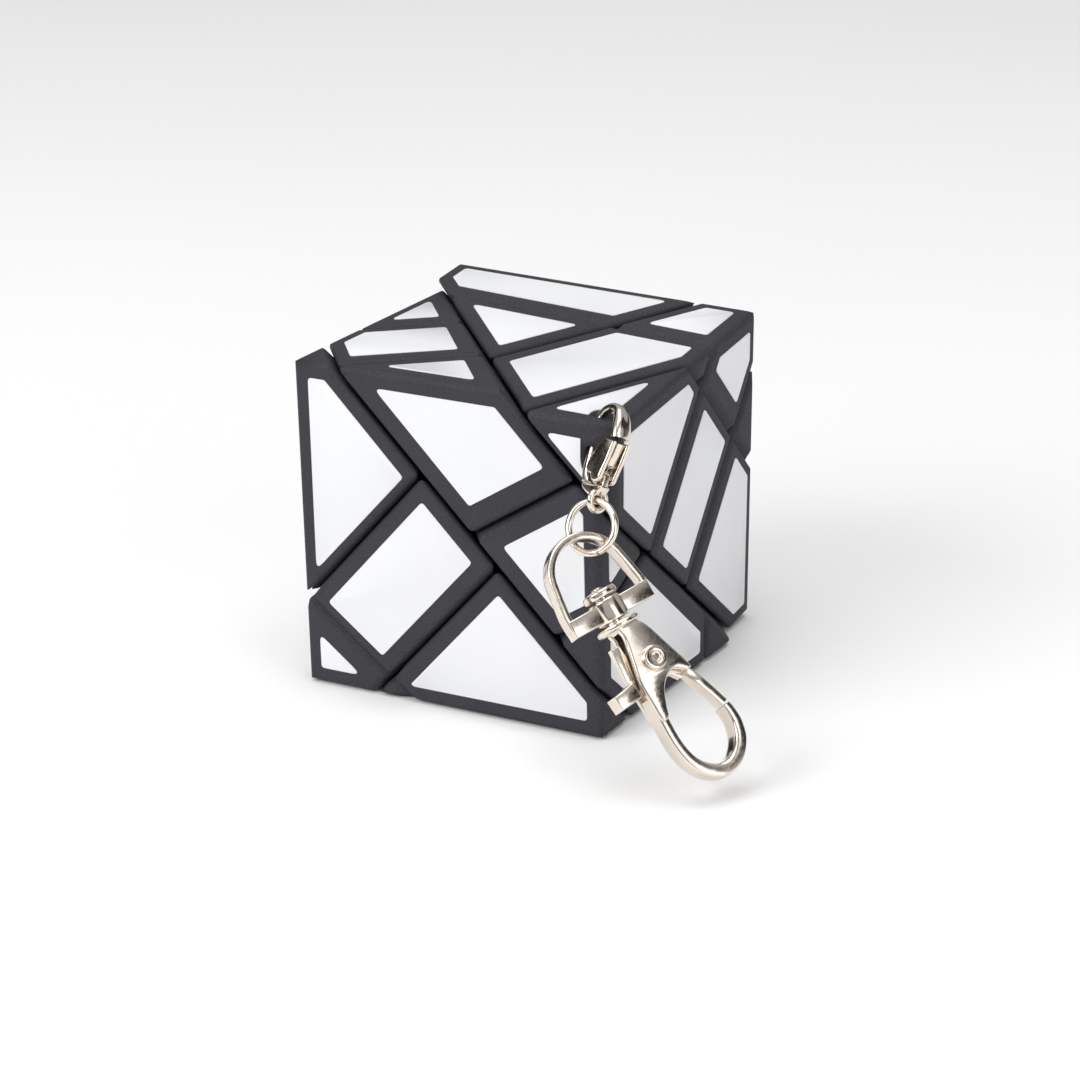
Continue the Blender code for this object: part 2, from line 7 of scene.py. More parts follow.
import json
import math
import random

import bmesh
import bpy
from mathutils import Matrix, Vector

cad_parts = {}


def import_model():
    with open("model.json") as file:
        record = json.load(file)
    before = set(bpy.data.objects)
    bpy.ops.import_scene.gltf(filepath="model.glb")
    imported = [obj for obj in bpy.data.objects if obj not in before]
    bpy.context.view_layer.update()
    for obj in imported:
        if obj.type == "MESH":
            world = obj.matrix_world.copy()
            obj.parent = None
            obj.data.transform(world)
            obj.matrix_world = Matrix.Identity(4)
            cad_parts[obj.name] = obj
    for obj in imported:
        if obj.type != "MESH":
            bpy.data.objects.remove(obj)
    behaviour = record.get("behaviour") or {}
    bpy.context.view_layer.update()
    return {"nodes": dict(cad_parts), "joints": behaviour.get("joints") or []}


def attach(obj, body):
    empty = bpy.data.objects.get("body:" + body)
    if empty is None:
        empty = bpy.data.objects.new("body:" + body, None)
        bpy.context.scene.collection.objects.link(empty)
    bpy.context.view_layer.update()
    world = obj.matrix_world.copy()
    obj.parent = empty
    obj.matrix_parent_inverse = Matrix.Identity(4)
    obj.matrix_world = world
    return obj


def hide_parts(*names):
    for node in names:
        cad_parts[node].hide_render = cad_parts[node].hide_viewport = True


MM = 0.001

# The cube, as the CAD model cuts it
HALF = 20.0
CUT = 6.86
GAP = 0.3
LAYER_TWIST = {
    "upper": math.radians(122.5),
    "middle": math.radians(-92.5),
    "lower": math.radians(-121.1),
}
LAYER_TURN = {"upper": math.radians(5.9), "middle": 0.0, "lower": 0.0}
LAYER_SIDE = {"upper": 1, "middle": 0, "lower": -1}

# Stickers
STICKER_THICK = 0.1
STICKER_FROM_CUT = 2.2
# Stickers cut to other margins: (layer, side across, side along, face) to the margin from each cut, in order
ODD_STICKERS = {
    ("upper", -1, -1, (0, -1, 0)): (0.6, 2.2, 2.2),
    ("upper", -1, -1, (0, 0, 1)): (1.45, 1.45, 1.45),
    ("upper", 0, 0, (0, 0, 1)): (1.9,) * 5,
    ("lower", 1, 1, (0, -1, 0)): (2.2, 1.1, 2.2),
    ("lower", 0, 0, (0, -1, 0)): (1.6,) * 5,
    ("middle", 1, 1, (0, -1, 0)): (2.2, 2.2, 3.3, 1.65),
}
STICKER_FROM_EDGE = 2.05
STICKER_CORNER = 0.45
STICKER_BEVEL = 0.04
STICKER_ASKEW = math.radians(0.35)
STICKER_SHIFT = 0.07
CLOSEST_CORNERS = 0.25
SMALLEST_STICKER = 3.0  # square millimetres
NOTCH_RADIUS = 1.2

# Clasp, with the hole's centre as its origin
CLASP_PIVOT = (3.0, -4.35)
FOOT_HALF = 0.8
TONGUE_HALF = 0.4
TONGUE_WIDE = 0.6
EYE_CENTRE = (2.9, -7.1, 0)
EYE_RADIUS = 1.05
EYE_WIRE = 0.38
LEVER_END = 0.85
LEVER_HALF = 1.35
LEVER_SLOT_HALF = 0.74

# Jump ring
JUMP_RADIUS = 2.9
JUMP_WIRE = 0.4
JUMP_JOINT = -58  # degrees round the ring, to the butt joint
JUMP_JOINT_HALF = 0.9

# D-ring, with the middle of its cross bar as its origin
ARCH_RADIUS = 4.55
ARCH_CENTRE = (0, -4.3)
ARM_OUT = 5.1
STRAP_THICK_HALF = 0.45
STRAP_WIDE_HALF = 0.9
BAR_START, BAR_END = 1.2, 5.42
BAR_HALF = 1.0
BARREL_RADIUS, BARREL_HALF, BARREL_BORE = 1.9, 1.3, 1.05

# Snap hook, with the same origin
LENGTHWISE = Matrix.Rotation(-math.pi / 2, 4, "X")  # turns Z to the hook's length
FACING_UP = Matrix.Rotation(math.pi / 2, 4, "X")
PIN_RADIUS, PIN_HALF = 0.8, 1.9
HEAD_RADIUS, HEAD_SPAN = 2.0, (1.5, 2.4)
COLLAR_RADIUS, COLLAR_SPAN = 2.58, (1.6, 2.32)
HOOK_HALF = 1.7
NECK_HALF = 1.68
CHEEK_INSIDE = 0.87
LOOP_HALF = 1.3
GATE_HALF = 0.95
HUB_HALF = 0.48
TAB_HALF = 1.15
RIVET_PLACE = (-0.85, 6.9, 0)
RIVET_RADIUS, RIVET_BORE, RIVET_HALF = 0.85, 0.5, 2.1
RIVET_RIM_RADIUS, RIVET_RIM_BORE = 1.4, 0.62
RIVET_RIM_START, RIVET_RIM_END = 1.72, 2.28

# The camera, from the cube's centre
CAMERA_PLACE = Vector((179.8, -308.2, 126.3))
CAMERA_RIGHT = Vector((0.8688, 0.4947, -0.0233))
CAMERA_UP = Vector((-0.1526, 0.3123, 0.9377))
LENS = 105.9


# --- shader helpers -----------------------------------------------------------------------------------------


def new_material(name):
    made = bpy.data.materials.new(name)
    made.use_nodes = True
    tree = made.node_tree
    return made, tree, tree.nodes["Principled BSDF"]


def add_node(tree, kind, settings=None, **inputs):
    """A node with its settings and its constant inputs, named with _ for a space."""
    node = tree.nodes.new(kind)
    for key, value in (settings or {}).items():
        setattr(node, key, value)
    for key, value in inputs.items():
        node.inputs[key.replace("_", " ")].default_value = value
    return node


def noise(tree, scale, detail=2.0, roughness=0.5):
    where = add_node(tree, "ShaderNodeTexCoord")
    made = add_node(tree, "ShaderNodeTexNoise", Scale=scale, Detail=detail, Roughness=roughness)
    tree.links.new(where.outputs["Object"], made.inputs["Vector"])
    return made.outputs["Fac"]


def ramp(tree, value, stops):
    """A colour ramp with stops (place, colour)."""
    made = add_node(tree, "ShaderNodeValToRGB")
    elements = made.color_ramp.elements
    while len(elements) < len(stops):
        elements.new(0.5)
    for element, (place, colour) in zip(elements, stops):
        element.position = place
        element.color = (*colour, 1.0)
    tree.links.new(value, made.inputs["Fac"])
    return made.outputs["Color"]


def map_range(tree, value, low, high, to_low, to_high):
    made = add_node(tree, "ShaderNodeMapRange")
    for slot, number in zip(("From Min", "From Max", "To Min", "To Max"), (low, high, to_low, to_high)):
        made.inputs[slot].default_value = number
    tree.links.new(value, made.inputs["Value"])
    return made.outputs["Result"]


def bump(tree, shader, height, strength, depth, under=None):
    """Bump of a depth in millimetres, on top of another one's normal if there is one."""
    made = add_node(tree, "ShaderNodeBump", Strength=strength, Distance=depth * MM)
    tree.links.new(height, made.inputs["Height"])
    if under is not None:
        tree.links.new(under, made.inputs["Normal"])
    tree.links.new(made.outputs["Normal"], shader.inputs["Normal"])
    return made.outputs["Normal"]


# --- materials ----------------------------------------------------------------------------------------------


def sintered_plastic(name, base, speck):
    """Dyed powder-sintered plastic: a fine sandy grain with paler specks."""
    made, tree, shader = new_material(name)
    grain = noise(tree, 5200.0, 3.0, 0.65)
    cloud = noise(tree, 160.0, 2.0)
    dark = tuple(0.62 * c for c in base)
    colour = ramp(tree, grain, [(0.30, dark), (0.52, base), (0.66, base), (0.76, speck)])
    tone = ramp(tree, cloud, [(0.3, (0.86, 0.86, 0.86)), (0.7, (1.0, 1.0, 1.0))])
    mixed = add_node(tree, "ShaderNodeMix", {"data_type": "RGBA", "blend_type": "MULTIPLY"})
    mixed.inputs["Factor"].default_value = 1.0
    tree.links.new(colour, mixed.inputs["A"])
    tree.links.new(tone, mixed.inputs["B"])
    tree.links.new(mixed.outputs["Result"], shader.inputs["Base Color"])
    tree.links.new(map_range(tree, grain, 0.3, 0.7, 0.82, 0.62), shader.inputs["Roughness"])
    shader.inputs["Specular IOR Level"].default_value = 0.42
    coarse = bump(tree, shader, noise(tree, 1500.0, 2.0), 0.35, 0.12)
    bump(tree, shader, grain, 0.55, 0.06, coarse)
    return made


def sticker_vinyl():
    """White satin vinyl, with the faintest unevenness."""
    made, tree, shader = new_material("sticker_white")
    cloud = noise(tree, 90.0, 3.0)
    colour = ramp(tree, cloud, [(0.3, (0.80, 0.805, 0.83)), (0.7, (0.83, 0.835, 0.85))])
    tree.links.new(colour, shader.inputs["Base Color"])
    tree.links.new(map_range(tree, noise(tree, 700.0), 0.3, 0.7, 0.30, 0.40), shader.inputs["Roughness"])
    shader.inputs["Specular IOR Level"].default_value = 0.4
    bump(tree, shader, noise(tree, 260.0, 2.0), 0.12, 0.05)
    return made


def nickel(name, base, rough):
    """Polished plating: a soft orange peel under fine scratches, and a faint tarnish."""
    made, tree, shader = new_material(name)
    cloud = noise(tree, 240.0, 3.0)
    dull = tuple(0.86 * c for c in base)
    tree.links.new(ramp(tree, cloud, [(0.32, dull), (0.6, base)]), shader.inputs["Base Color"])
    shader.inputs["Metallic"].default_value = 1.0
    fine = noise(tree, 2600.0, 3.0, 0.6)
    tree.links.new(map_range(tree, fine, 0.3, 0.75, rough, rough + 0.12), shader.inputs["Roughness"])
    peel = bump(tree, shader, noise(tree, 520.0, 2.0), 0.10, 0.10)
    bump(tree, shader, fine, 0.06, 0.03, peel)
    return made


def paint(obj, material):
    obj.data.materials.clear()
    obj.data.materials.append(material)


# --- mesh helpers -------------------------------------------------------------------------------------------


def piece(bm, name, place, material, body, replaced=()):
    """Turns bm, in millimetres, into a named piece at a place, riding on a body."""
    bmesh.ops.remove_doubles(bm, verts=bm.verts, dist=0.0005)
    bmesh.ops.recalc_face_normals(bm, faces=bm.faces)
    mesh = bpy.data.meshes.new(name)
    bm.to_mesh(mesh)
    bm.free()
    mesh.transform(Matrix.Scale(MM, 4) @ place)
    mesh.shade_smooth()
    mesh.set_sharp_from_angle(angle=math.radians(38))
    obj = bpy.data.objects.new(name, mesh)
    bpy.context.scene.collection.objects.link(obj)
    paint(obj, material)
    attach(obj, body)
    if replaced:
        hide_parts(*replaced)
    return obj


def smooth_line(points, steps, closed=False):
    """Catmull-Rom points through the given ones, which can have any number of coordinates."""
    count = len(points)
    spans = count if closed else count - 1
    made = []
    for span in range(spans):
        picks = [span - 1, span, span + 1, span + 2]
        if closed:
            a, b, c, d = (points[k % count] for k in picks)
        else:
            a, b, c, d = (points[min(max(k, 0), count - 1)] for k in picks)
        for step in range(steps):
            t = step / steps
            made.append(tuple(
                q + t / 2 * (r - p + t * (2 * p - 5 * q + 4 * r - s + t * (3 * q - p - 3 * r + s)))
                for p, q, r, s in zip(a, b, c, d)
            ))
    if not closed:
        made.append(tuple(points[-1]))
    return made


def arc(centre, radius, start, end, steps):
    """Points on a circle in the XY plane, from start to end degrees."""
    angles = [math.radians(start + (end - start) * k / steps) for k in range(steps + 1)]
    return [(centre[0] + radius * math.cos(a), centre[1] + radius * math.sin(a)) for a in angles]


def section(wide, deep, power, sides):
    """A superellipse: power 2 is an ellipse, and a larger one a rectangle with rounder corners."""
    made = []
    for k in range(sides):
        angle = 2 * math.pi * (k + 0.5) / sides
        c, s = math.cos(angle), math.sin(angle)
        made.append((
            wide * math.copysign(abs(c) ** (2 / power), c),
            deep * math.copysign(abs(s) ** (2 / power), s),
        ))
    return made


def join_rings(bm, low, high):
    for k in range(len(low)):
        after = (k + 1) % len(low)
        bm.faces.new((low[k], low[after], high[after], high[k]))


def sweep(bm, line, power=2.0, sides=20, closed=False):
    """Sweeps a section along a line in the XY plane.

    Each point of the line is (x, y, half width in the plane, half depth).
    """
    count = len(line)
    rings = []
    for k, (x, y, wide, deep) in enumerate(line):
        before = line[k - 1] if closed or k else line[k]
        after = line[(k + 1) % count] if closed or k < count - 1 else line[k]
        along = Vector((after[0] - before[0], after[1] - before[1], 0)).normalized()
        side = Vector((along.y, -along.x, 0))
        rings.append([
            bm.verts.new(Vector((x, y, 0)) + side * out + Vector((0, 0, up)))
            for out, up in section(wide, deep, power, sides)
        ])
    pairs = list(zip(rings, rings[1:]))
    if closed:
        pairs.append((rings[-1], rings[0]))
    else:
        bm.faces.new(rings[0])
        bm.faces.new(rings[-1])
    for low, high in pairs:
        join_rings(bm, low, high)
    return bm


def plate(bm, outline, low, high, edge, steps=1):
    """Adds a plate with rounded edges from low to high along Z. steps over 1 smooths the outline first."""
    points = smooth_line(outline, steps, closed=True) if steps > 1 else outline
    curve = bpy.data.curves.new("plate", "CURVE")
    curve.dimensions = "2D"
    curve.fill_mode = "BOTH"
    curve.extrude = (high - low) / 2 - edge
    curve.bevel_depth = edge
    curve.bevel_resolution = 3
    curve.offset = -edge
    spline = curve.splines.new("POLY")
    spline.points.add(len(points) - 1)
    for point, (x, y) in zip(spline.points, points):
        point.co = (x, y, 0, 1)
    spline.use_cyclic_u = True
    obj = bpy.data.objects.new("plate", curve)
    bpy.context.scene.collection.objects.link(obj)
    mesh = bpy.data.meshes.new_from_object(obj.evaluated_get(bpy.context.evaluated_depsgraph_get()))
    mesh.transform(Matrix.Translation((0, 0, (low + high) / 2)))
    bm.from_mesh(mesh)
    bpy.data.objects.remove(obj)
    bpy.data.curves.remove(curve)
    bpy.data.meshes.remove(mesh)
    return bm


def lathe(bm, profile, place, sides=40):
    """Turns a profile of (radius, height) round Z, then moves it to its place.

    A hollow profile is closed, and a solid one starts and ends on the axis.
    """
    rings = []
    for radius, height in profile:
        if radius < 1e-6:
            rings.append([bm.verts.new(place @ Vector((0, 0, height)))])
            continue
        steps = [2 * math.pi * k / sides for k in range(sides)]
        rings.append([
            bm.verts.new(place @ Vector((radius * math.cos(a), radius * math.sin(a), height))) for a in steps
        ])
    pairs = list(zip(rings, rings[1:]))
    if len(rings[0]) > 1:
        pairs.append((rings[-1], rings[0]))
    for low, high in pairs:
        if len(low) == len(high):
            join_rings(bm, low, high)
            continue
        for k in range(sides):
            after = (k + 1) % sides
            if len(low) == 1:
                bm.faces.new((low[0], high[after], high[k]))
            else:
                bm.faces.new((low[k], low[after], high[0]))
    return bm


def disc(radius, low, high, edge, bore=0.0, dome=0.0):
    """The profile of a disc with rounded rims, a bore or none, and a dome on its high side."""

    def quarter(steps):
        angles = [math.pi / 2 * k / steps for k in range(steps + 1)]
        return [(edge * math.cos(a), edge * math.sin(a)) for a in angles]

    rim_high = [(radius - edge + along, high - edge + across) for across, along in quarter(5)]
    rim_low = [(r, low + high - z) for r, z in reversed(rim_high)]
    if bore:
        mouth_high = [(bore + edge - across, high - edge + along) for across, along in quarter(4)]
        mouth_low = [(r, low + high - z) for r, z in reversed(mouth_high)]
        return mouth_high + rim_high + rim_low + mouth_low
    rounds = []
    if dome:
        rounds = [((radius - edge) * t, high + dome * (1 - t * t)) for t in (0.25, 0.5, 0.75)]
    return [(0.0, high + dome), *rounds, *rim_high, *rim_low, (0.0, low)]


# --- places from the frame ----------------------------------------------------------------------------------


def joint_of(frame, name):
    """(position in millimetres, unit axis) of a joint."""
    found = next(joint for joint in frame["joints"] if joint["name"] == name)
    return Vector(found["pos_m"]) / MM, Vector(found["axis"]).normalized()


def plane_of(origin, along, out):
    """A place whose Y is along and whose Z is out."""
    out = (out - out.dot(along) * along).normalized()
    return Matrix.Translation(origin) @ Matrix((along.cross(out), along, out)).transposed().to_4x4()


# --- stickers -----------------------------------------------------------------------------------------------


def clip(polygon, normal, least):
    """The part of a convex polygon where point . normal >= least."""
    made = []
    for k, point in enumerate(polygon):
        after = polygon[(k + 1) % len(polygon)]
        here, there = point.dot(normal) - least, after.dot(normal) - least
        if here >= 0:
            made.append(point)
        if here * there < 0:
            made.append(point + (after - point) * here / (here - there))
    return made


def area_of(polygon):
    return abs(sum(p.x * q.y - p.y * q.x for p, q in zip(polygon, polygon[1:] + polygon[:1]))) / 2


def round_corners(polygon):
    """The polygon with each corner replaced by a short curve."""
    made = []
    count = len(polygon)
    for k, corner in enumerate(polygon):
        before, after = polygon[k - 1] - corner, polygon[(k + 1) % count] - corner
        half = before.angle(after) / 2
        reach = min(STICKER_CORNER / math.tan(half), 0.35 * before.length, 0.35 * after.length)
        start, end = corner + before.normalized() * reach, corner + after.normalized() * reach
        for step in range(5):
            t = step / 4
            made.append(start * (1 - t) ** 2 + corner * 2 * t * (1 - t) + end * t * t)
    return made


def face_polygon(planes, out, u, v, insets):
    """The sticker's outline on one of the cube's faces, in the face's own u and v, or None."""
    reach = HALF - STICKER_FROM_EDGE
    polygon = [Vector(p) for p in ((-reach, -reach), (reach, -reach), (reach, reach), (-reach, reach))]
    for (normal, distance), inset in zip(planes, insets):
        flat = Vector((normal.dot(u), normal.dot(v)))
        least = (distance - HALF * normal.dot(out)) / flat.length + inset
        polygon = clip(polygon, flat.normalized(), least)
        if len(polygon) < 3:
            return None
    merged = [p for k, p in enumerate(polygon) if (p - polygon[k - 1]).length > CLOSEST_CORNERS]
    if len(merged) < 3 or area_of(merged) < SMALLEST_STICKER:
        return None
    return merged


def add_sticker(bm, polygon, out, u, v, chance):
    """A thin film on a face, laid a little askew as a hand lays it."""
    middle = sum(polygon, Vector((0, 0))) / len(polygon)
    askew = Matrix.Rotation(chance.uniform(-STICKER_ASKEW, STICKER_ASKEW), 2)
    shift = Vector([chance.uniform(-STICKER_SHIFT, STICKER_SHIFT) for _ in range(2)])
    outline = [middle + shift + askew @ (p - middle) for p in round_corners(polygon)]
    size = math.sqrt(area_of(polygon))
    rings = []
    for height, inset in ((0.0, 0.0), (STICKER_THICK - STICKER_BEVEL, 0.0), (STICKER_THICK, STICKER_BEVEL)):
        keep = 1 - 2 * inset / size
        flat = [middle + (p - middle) * keep for p in outline]
        rings.append([bm.verts.new(out * (HALF + height) + u * p.x + v * p.y) for p in flat])
    bm.faces.new(rings[0])
    bm.faces.new(rings[-1])
    for low, high in zip(rings, rings[1:]):
        join_rings(bm, low, high)


def hole_cutter(hole_place):
    """The shape of the notch round the hanging hole: a rod along it, open towards the corner."""
    reach, half_length = 12, 9
    bm = bmesh.new()
    outline = arc((0, 0), NOTCH_RADIUS, 180, 360, 16) + [(NOTCH_RADIUS, reach), (-NOTCH_RADIUS, reach)]
    low = [bm.verts.new((x, -half_length, y)) for x, y in outline]
    high = [bm.verts.new((x, half_length, y)) for x, y in outline]
    bm.faces.new(low)
    bm.faces.new(high)
    join_rings(bm, low, high)
    bmesh.ops.recalc_face_normals(bm, faces=bm.faces)
    bm.transform(Matrix.Scale(MM, 4) @ hole_place)
    mesh = bpy.data.meshes.new("hole_cutter")
    bm.to_mesh(mesh)
    bm.free()
    obj = bpy.data.objects.new("hole_cutter", mesh)
    bpy.context.scene.collection.objects.link(obj)
    return obj


def cut_away(obj, cutter):
    step = obj.modifiers.new("notch", "BOOLEAN")
    step.operation = "DIFFERENCE"
    step.solver = "EXACT"
    step.object = cutter
    mesh = bpy.data.meshes.new_from_object(obj.evaluated_get(bpy.context.evaluated_depsgraph_get()))
    obj.modifiers.remove(step)
    obj.data = mesh
    bpy.data.objects.remove(cutter)


def make_stickers(frame, hole_place, material):
    """One piece for each cubie with a sticker: one sticker on each of its faces that has room for it."""
    centre, axis = joint_of(frame, "upper_turn")
    first = axis.cross(Vector((0, 0, 1))).normalized()
    second = axis.cross(first)
    ways = [Vector(w) for w in ((1, 0, 0), (-1, 0, 0), (0, 1, 0), (0, -1, 0), (0, 0, 1), (0, 0, -1))]
    chance = random.Random(7)
    for layer, twist in LAYER_TWIST.items():
        across = first * math.cos(twist) + second * math.sin(twist)
        axes = (axis, across, axis.cross(across))
        place = Matrix.Translation(centre) @ Matrix.Rotation(LAYER_TURN[layer], 4, axis)
        for i in (-1, 0, 1):
            for j in (-1, 0, 1):
                sides = (LAYER_SIDE[layer], i, j)
                planes = []
                for way, side in zip(axes, sides):
                    if side:
                        planes.append((way * side, CUT + GAP / 2))
                    else:
                        planes += [(way, GAP / 2 - CUT), (-way, GAP / 2 - CUT)]
                bm = bmesh.new()
                for out in ways:
                    u = Vector((out.y, out.z, out.x))
                    v = out.cross(u)
                    plain = [STICKER_FROM_CUT] * len(planes)
                    insets = ODD_STICKERS.get((layer, i, j, tuple(out)), plain)
                    polygon = face_polygon(planes, out, u, v, insets)
                    if polygon:
                        add_sticker(bm, polygon, out, u, v, chance)
                if not bm.verts:
                    bm.free()
                    continue
                name = f"stickers_{layer}_{i + 2}{j + 2}"
                obj = piece(bm, name, place, material, f"{layer}_layer")
                if sides == (1, -1, -1):
                    cut_away(obj, hole_cutter(hole_place))
                    paint(obj, material)


# --- hardware -----------------------------------------------------------------------------------------------


def add_mesh(bm, other, place):
    """Adds one bmesh to another at a place, and frees it."""
    other.transform(place)
    mesh = bpy.data.meshes.new("added")
    other.to_mesh(mesh)
    other.free()
    bm.from_mesh(mesh)
    bpy.data.meshes.remove(mesh)


def make_clasp(place, material):
    """The lobster clasp's body: a wire through the hole that grows into the claw, and a foot with the eye."""
    line = [(1.6, -5.65, 0.45, 0.5), (0.5, -5.1, 0.48, 0.5), (0, -3.9, 0.48, 0.48), (0, -1.6, 0.48, 0.48)]
    line += [(0, 1.6, 0.44, 0.44), (0.1, 2.2, 0.43, 0.43), (0.4, 2.7, 0.43, 0.43), (0.95, 3.13, 0.45, 0.46)]
    line += [(1.75, 3.38, 0.47, 0.5), (2.6, 3.3, 0.54, 0.62), (3.3, 2.8, 0.64, 0.82), (3.78, 2.0, 0.7, 1.0)]
    line += [(4.02, 1.1, 0.74, 1.14), (4.13, 0.35, 0.75, 1.2), (4.17, -0.03, 0.72, 1.17)]
    bm = sweep(bmesh.new(), smooth_line(line, 6), power=2.6, sides=28)
    foot = [(0.3, -4.95), (1.5, -5.35), (3.5, -5.4), (3.6, -5.9)]
    foot += [(3.1, -6.5), (2.2, -6.7), (1.2, -6.4), (0.4, -5.8)]
    plate(bm, foot, -FOOT_HALF, FOOT_HALF, 0.38, 4)
    x, y = CLASP_PIVOT
    tongue = [(x - TONGUE_WIDE, y - 1.3), (x + TONGUE_WIDE, y - 1.3), *arc((x, y), TONGUE_WIDE, 0, 180, 8)]
    plate(bm, tongue, -TONGUE_HALF, TONGUE_HALF, 0.1)
    ring_line = [(x, y, EYE_WIRE, EYE_WIRE) for x, y in arc((0, 0), EYE_RADIUS, 0, 360, 40)[:-1]]
    eye = sweep(bmesh.new(), ring_line, sides=16, closed=True)
    add_mesh(bm, eye, Matrix.Translation(EYE_CENTRE) @ Matrix.Rotation(math.pi / 2, 4, "Y"))
    piece(bm, "lobster_clasp_body", place, material, "clasp", ["clasp_body"])


def make_clasp_lever(place, material):
    """The sprung lever that closes the claw: two walls that fork round the pivot, with a web and a rib."""
    x, y = CLASP_PIVOT
    outer = [(4.1, -3.5), (4.37, -2.7), (4.6, -1.7), (4.85, -0.55)]
    narrow = [(3.55, -0.25), (3.1, -1.2), (2.6, -2.2), (2.25, -3.1), (2.1, -3.8)]
    broad = [(3.3, -0.2), (2.4, -1.2), (1.65, -2.2), (1.2, -3.1), (1.15, -3.8), (1.6, -4.3)]
    bm = bmesh.new()
    for inner, low, high in (
        (narrow, -LEVER_HALF, -LEVER_SLOT_HALF),
        (broad, LEVER_SLOT_HALF, LEVER_HALF),
    ):
        plate(bm, [*arc((x, y), LEVER_END, 180, 360, 10), *outer, *inner], low, high, 0.24)
    web = [(2.3, -3.15), (3.0, -3.15), (3.55, -1.9), (4.1, -0.6), (3.6, -0.4), (3.15, -1.2), (2.65, -2.2)]
    plate(bm, web, -0.85, 0.85, 0.05)
    rib = [(2.6, -3.15), (3.75, -3.1), (4.2, -2.0), (4.55, -0.65), (3.7, -0.45), (3.2, -1.2), (2.8, -2.2)]
    plate(bm, rib, -0.42, 0.42, 0.12)
    lathe(bm, disc(0.28, -1.3, 1.3, 0.05), Matrix.Translation((x, y, 0)), 20)
    piece(bm, "lobster_clasp_lever", place, material, "clasp_lever", ["clasp_lever"])


def make_jump_ring(place, material):
    """A wire ring with its butt joint at one side."""
    start, end = JUMP_JOINT + JUMP_JOINT_HALF, JUMP_JOINT + 360 - JUMP_JOINT_HALF
    line = [(x, y, JUMP_WIRE, JUMP_WIRE) for x, y in arc((0, 0), JUMP_RADIUS, start, end, 72)]
    bm = sweep(bmesh.new(), line)
    piece(bm, "jump_ring_wire", place, material, "jump_ring", ["jump_ring"])


def make_d_ring(place, material):
    """A strap arch, its flat cross bar, and the barrel that the hook's pin turns in."""
    arch = arc(ARCH_CENTRE, ARCH_RADIUS, 180, 360, 28)
    points = [(-ARM_OUT, 0.1), (-ARM_OUT, -1.6), *arch[2:-2], (ARM_OUT, -1.6), (ARM_OUT, 0.1)]
    line = [(x, y, STRAP_THICK_HALF, STRAP_WIDE_HALF) for x, y in points]
    bm = sweep(bmesh.new(), smooth_line(line, 2), power=5.0, sides=28)
    for low, high in ((-BAR_END, -BAR_START), (BAR_START, BAR_END)):
        outline = [(low, -BAR_HALF), (high, -BAR_HALF), (high, BAR_HALF), (low, BAR_HALF)]
        plate(bm, outline, -BAR_HALF, BAR_HALF, 0.16)
    lathe(bm, disc(BARREL_RADIUS, -BARREL_HALF, BARREL_HALF, 0.28, bore=BARREL_BORE), LENGTHWISE)
    piece(bm, "swivel_d_ring", place, material, "d_ring", ["d_ring"])


def make_hook(place, material):
    """Peened head, pin, collar, the two cheeks that hold the trigger, and the loop."""
    bm = bmesh.new()
    lathe(bm, disc(HEAD_RADIUS, *HEAD_SPAN, 0.3, dome=0.2), FACING_UP)
    lathe(bm, disc(0.6, 2.4, 2.75, 0.12, dome=0.06), FACING_UP, 20)
    lathe(bm, disc(PIN_RADIUS, -PIN_HALF, PIN_HALF, 0.05), LENGTHWISE, 24)
    lathe(bm, disc(COLLAR_RADIUS, *COLLAR_SPAN, 0.3), LENGTHWISE)
    neck = [(0.9, 2.1), (-1.2, 2.1), (-1.9, 2.8), (-2.0, 3.3), (-0.6, 3.2), (0.4, 2.85), (0.85, 2.6)]
    plate(bm, neck[::-1], -NECK_HALF, NECK_HALF, 0.3, 4)
    cheek = [
        (0.95, 2.3), (-1.2, 2.3), (-2.3, 3.4), (-3.35, 6.4), (-4.1, 8.6), (-4.35, 9.6), (-3.7, 9.8),
        (-2.5, 9.0), (-1.3, 9.3), (-0.2, 10.3), (0.6, 11.8), (1.2, 13.2), (2.1, 13.2), (2.15, 11.0),
        (2.1, 8.4), (1.3, 5.2), (0.9, 3.4),
    ]
    for side in (-1, 1):
        low, high = sorted((side * CHEEK_INSIDE, side * HOOK_HALF))
        plate(bm, cheek[::-1], low, high, 0.3, 4)
    loop = [
        (1.3, 10.6), (1.65, 13.2), (1.72, 16.4), (1.1, 18.9), (-0.35, 20.55), (-2.0, 21.1), (-3.75, 20.6),
        (-5.2, 19.2), (-5.88, 17.4), (-5.93, 16.0), (-5.8, 15.15),
    ]
    widths = [0.75, 0.62, 0.62, 0.68, 0.76, 0.8, 0.78, 0.72, 0.64, 0.58, 0.55]
    line = [(x, y, wide, LOOP_HALF) for (x, y), wide in zip(loop, widths)]
    sweep(bm, smooth_line(line, 8), power=5.0, sides=28)
    piece(bm, "snap_hook_body", place, material, "hook", ["hook_body"])


